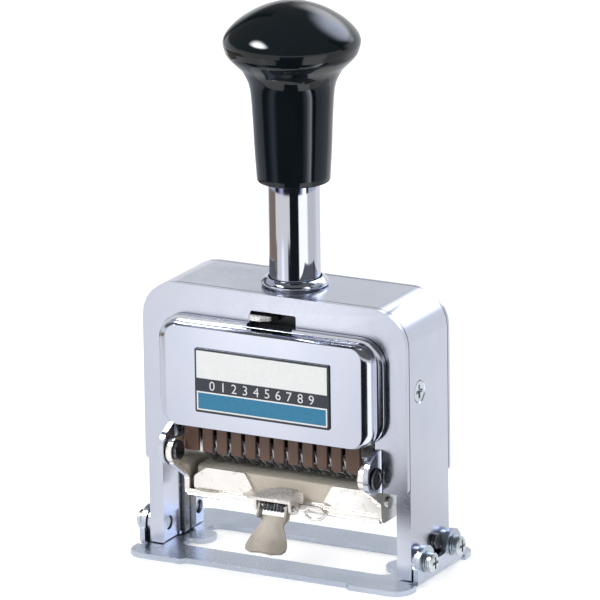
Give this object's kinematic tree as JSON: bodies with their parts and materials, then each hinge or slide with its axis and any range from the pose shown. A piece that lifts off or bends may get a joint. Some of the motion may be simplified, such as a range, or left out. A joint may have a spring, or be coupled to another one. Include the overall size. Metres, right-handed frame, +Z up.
{
  "type": "numbering machine",
  "caption": "Hand numbering machine: chrome casing on a windowed base, black press knob, bank of number wheels behind a guard comb, swinging ink pad bracket.",
  "frame": {"origin": "middle of the base plate's underside, on the desk", "axes": "+Z up along the plunger, +X to the machine's right seen from the front, +Y towards the rear plate, so the front cover faces -Y"},
  "size_m": [0.0908, 0.0444, 0.1553],
  "materials": {
    "chrome_plate": "bright chrome plating, mirror smooth with faint waves and edge wear",
    "nickel_plate": "warm nickel plating on pressed sheet, fine drawn grain",
    "bright_steel": "ground steel with a light oil film",
    "zinc_screws": "blue-passivated zinc, slightly iridescent",
    "black_steel": "blackened steel, oily and slightly worn at edges",
    "type_steel": "dark engraved type wheels with ink-stained recesses",
    "brown_guard": "brown laminated sheet, satin, with fine fibres",
    "black_knob": "polished black moulding",
    "felt": "dense cream felt",
    "enamel": "printed plate in white, near-black and teal blue bands"
  },
  "bodies": {
    "frame": {"base_plate": "chrome_plate", "frame_casing": "chrome_plate", "front_plate": "chrome_plate", "front_cover": "chrome_plate", "number_plate": "enamel", "rear_plate": "chrome_plate", "shaft_collar": "chrome_plate", "spring_yoke": "bright_steel", "leg_liner_left": "black_steel", "leg_liner_right": "black_steel", "liner_screw_left": "black_steel", "liner_screw_right": "black_steel", "foot_screw_front_left": "zinc_screws", "foot_screw_front_right": "zinc_screws", "foot_screw_rear_left": "zinc_screws", "foot_screw_rear_right": "zinc_screws", "side_screw_left": "zinc_screws", "side_screw_right": "zinc_screws", "rear_screw_left": "zinc_screws", "rear_screw_right": "zinc_screws", "pivot_stud_left": "chrome_plate", "pivot_stud_right": "chrome_plate", "selector_keeper": "bright_steel", "keeper_rivet_left": "bright_steel", "keeper_rivet_right": "bright_steel", "return_spring": "bright_steel"},
    "plunger": {"knob": "black_knob", "plunger_shaft": "chrome_plate", "carriage_bridge": "bright_steel", "carriage_side_left": "bright_steel", "carriage_side_right": "bright_steel", "bridge_screw_left": "zinc_screws", "bridge_screw_right": "zinc_screws", "wheel_axle": "bright_steel", "digit_guard": "brown_guard", "pawl_rod": "bright_steel", "detent_comb": "bright_steel"},
    "number_wheel_01_body": {"number_wheel_01": "type_steel"},
    "number_wheel_02_body": {"number_wheel_02": "type_steel"},
    "number_wheel_03_body": {"number_wheel_03": "type_steel"},
    "number_wheel_04_body": {"number_wheel_04": "type_steel"},
    "number_wheel_05_body": {"number_wheel_05": "type_steel"},
    "number_wheel_06_body": {"number_wheel_06": "type_steel"},
    "number_wheel_07_body": {"number_wheel_07": "type_steel"},
    "number_wheel_08_body": {"number_wheel_08": "type_steel"},
    "number_wheel_09_body": {"number_wheel_09": "type_steel"},
    "number_wheel_10_body": {"number_wheel_10": "type_steel"},
    "number_wheel_11_body": {"number_wheel_11": "type_steel"},
    "feed_pawl_body": {"feed_pawl": "black_steel"},
    "ink_bracket_body": {"ink_bracket": "nickel_plate", "pad_case": "nickel_plate", "ink_pad": "felt", "pad_clip": "nickel_plate", "clip_pin": "zinc_screws", "clip_spring": "black_steel", "clip_hook": "zinc_screws"},
    "clip_lever_body": {"clip_lever": "nickel_plate"},
    "selector_body": {"action_selector": "chrome_plate"}
  },
  "joints": [
    {"name": "plunger_press", "type": "slide", "parent": "frame", "child": "plunger", "axis": [0, 0, -1], "range_m": [0, 0.0245], "stiffness_N_per_m": 300, "springref_m": -0.03, "deforming": ["return_spring"]},
    {"name": "ink_bracket_swing", "type": "hinge", "parent": "frame", "child": "ink_bracket_body", "pos_m": [0, -0.017, 0.0308], "axis": [-1, 0, 0], "range_deg": [0, 113]},
    {"name": "clip_lever_squeeze", "type": "hinge", "parent": "ink_bracket_body", "child": "clip_lever_body", "pos_m": [-0.0006, -0.0136, 0.0177], "axis": [-1, 0, 0], "range_deg": [0, 50], "stiffness_Nm_per_rad": 0.01, "springref_deg": -28.65},
    {"name": "selector_slide", "type": "slide", "parent": "frame", "child": "selector_body", "axis": [1, 0, 0], "range_m": [0, 0.0049]},
    {"name": "feed_pawl_rock", "type": "hinge", "parent": "plunger", "child": "feed_pawl_body", "pos_m": [0, 0.0066, 0.0474], "axis": [1, 0, 0], "range_deg": [0, 14]},
    {"name": "number_wheel_01_turn", "type": "hinge", "parent": "plunger", "child": "number_wheel_01_body", "pos_m": [-0.02342, -0.0005, 0.035], "axis": [1, 0, 0], "continuous": true},
    {"name": "number_wheel_02_turn", "type": "hinge", "parent": "plunger", "child": "number_wheel_02_body", "pos_m": [-0.01905, -0.0005, 0.035], "axis": [1, 0, 0], "continuous": true},
    {"name": "number_wheel_03_turn", "type": "hinge", "parent": "plunger", "child": "number_wheel_03_body", "pos_m": [-0.01469, -0.0005, 0.035], "axis": [1, 0, 0], "continuous": true},
    {"name": "number_wheel_04_turn", "type": "hinge", "parent": "plunger", "child": "number_wheel_04_body", "pos_m": [-0.01033, -0.0005, 0.035], "axis": [1, 0, 0], "continuous": true},
    {"name": "number_wheel_05_turn", "type": "hinge", "parent": "plunger", "child": "number_wheel_05_body", "pos_m": [-0.00596, -0.0005, 0.035], "axis": [1, 0, 0], "continuous": true},
    {"name": "number_wheel_06_turn", "type": "hinge", "parent": "plunger", "child": "number_wheel_06_body", "pos_m": [-0.0016, -0.0005, 0.035], "axis": [1, 0, 0], "continuous": true},
    {"name": "number_wheel_07_turn", "type": "hinge", "parent": "plunger", "child": "number_wheel_07_body", "pos_m": [0.00276, -0.0005, 0.035], "axis": [1, 0, 0], "continuous": true},
    {"name": "number_wheel_08_turn", "type": "hinge", "parent": "plunger", "child": "number_wheel_08_body", "pos_m": [0.00713, -0.0005, 0.035], "axis": [1, 0, 0], "continuous": true},
    {"name": "number_wheel_09_turn", "type": "hinge", "parent": "plunger", "child": "number_wheel_09_body", "pos_m": [0.01149, -0.0005, 0.035], "axis": [1, 0, 0], "continuous": true},
    {"name": "number_wheel_10_turn", "type": "hinge", "parent": "plunger", "child": "number_wheel_10_body", "pos_m": [0.01586, -0.0005, 0.035], "axis": [1, 0, 0], "continuous": true},
    {"name": "number_wheel_11_turn", "type": "hinge", "parent": "plunger", "child": "number_wheel_11_body", "pos_m": [0.02022, -0.0005, 0.035], "axis": [1, 0, 0], "continuous": true}
  ],
  "couplings": [
    {"joint": "ink_bracket_swing", "follows": "plunger_press", "rad_per_m": 80.285},
    {"joint": "feed_pawl_rock", "follows": "plunger_press", "rad_per_m": 9.9}
  ]
}
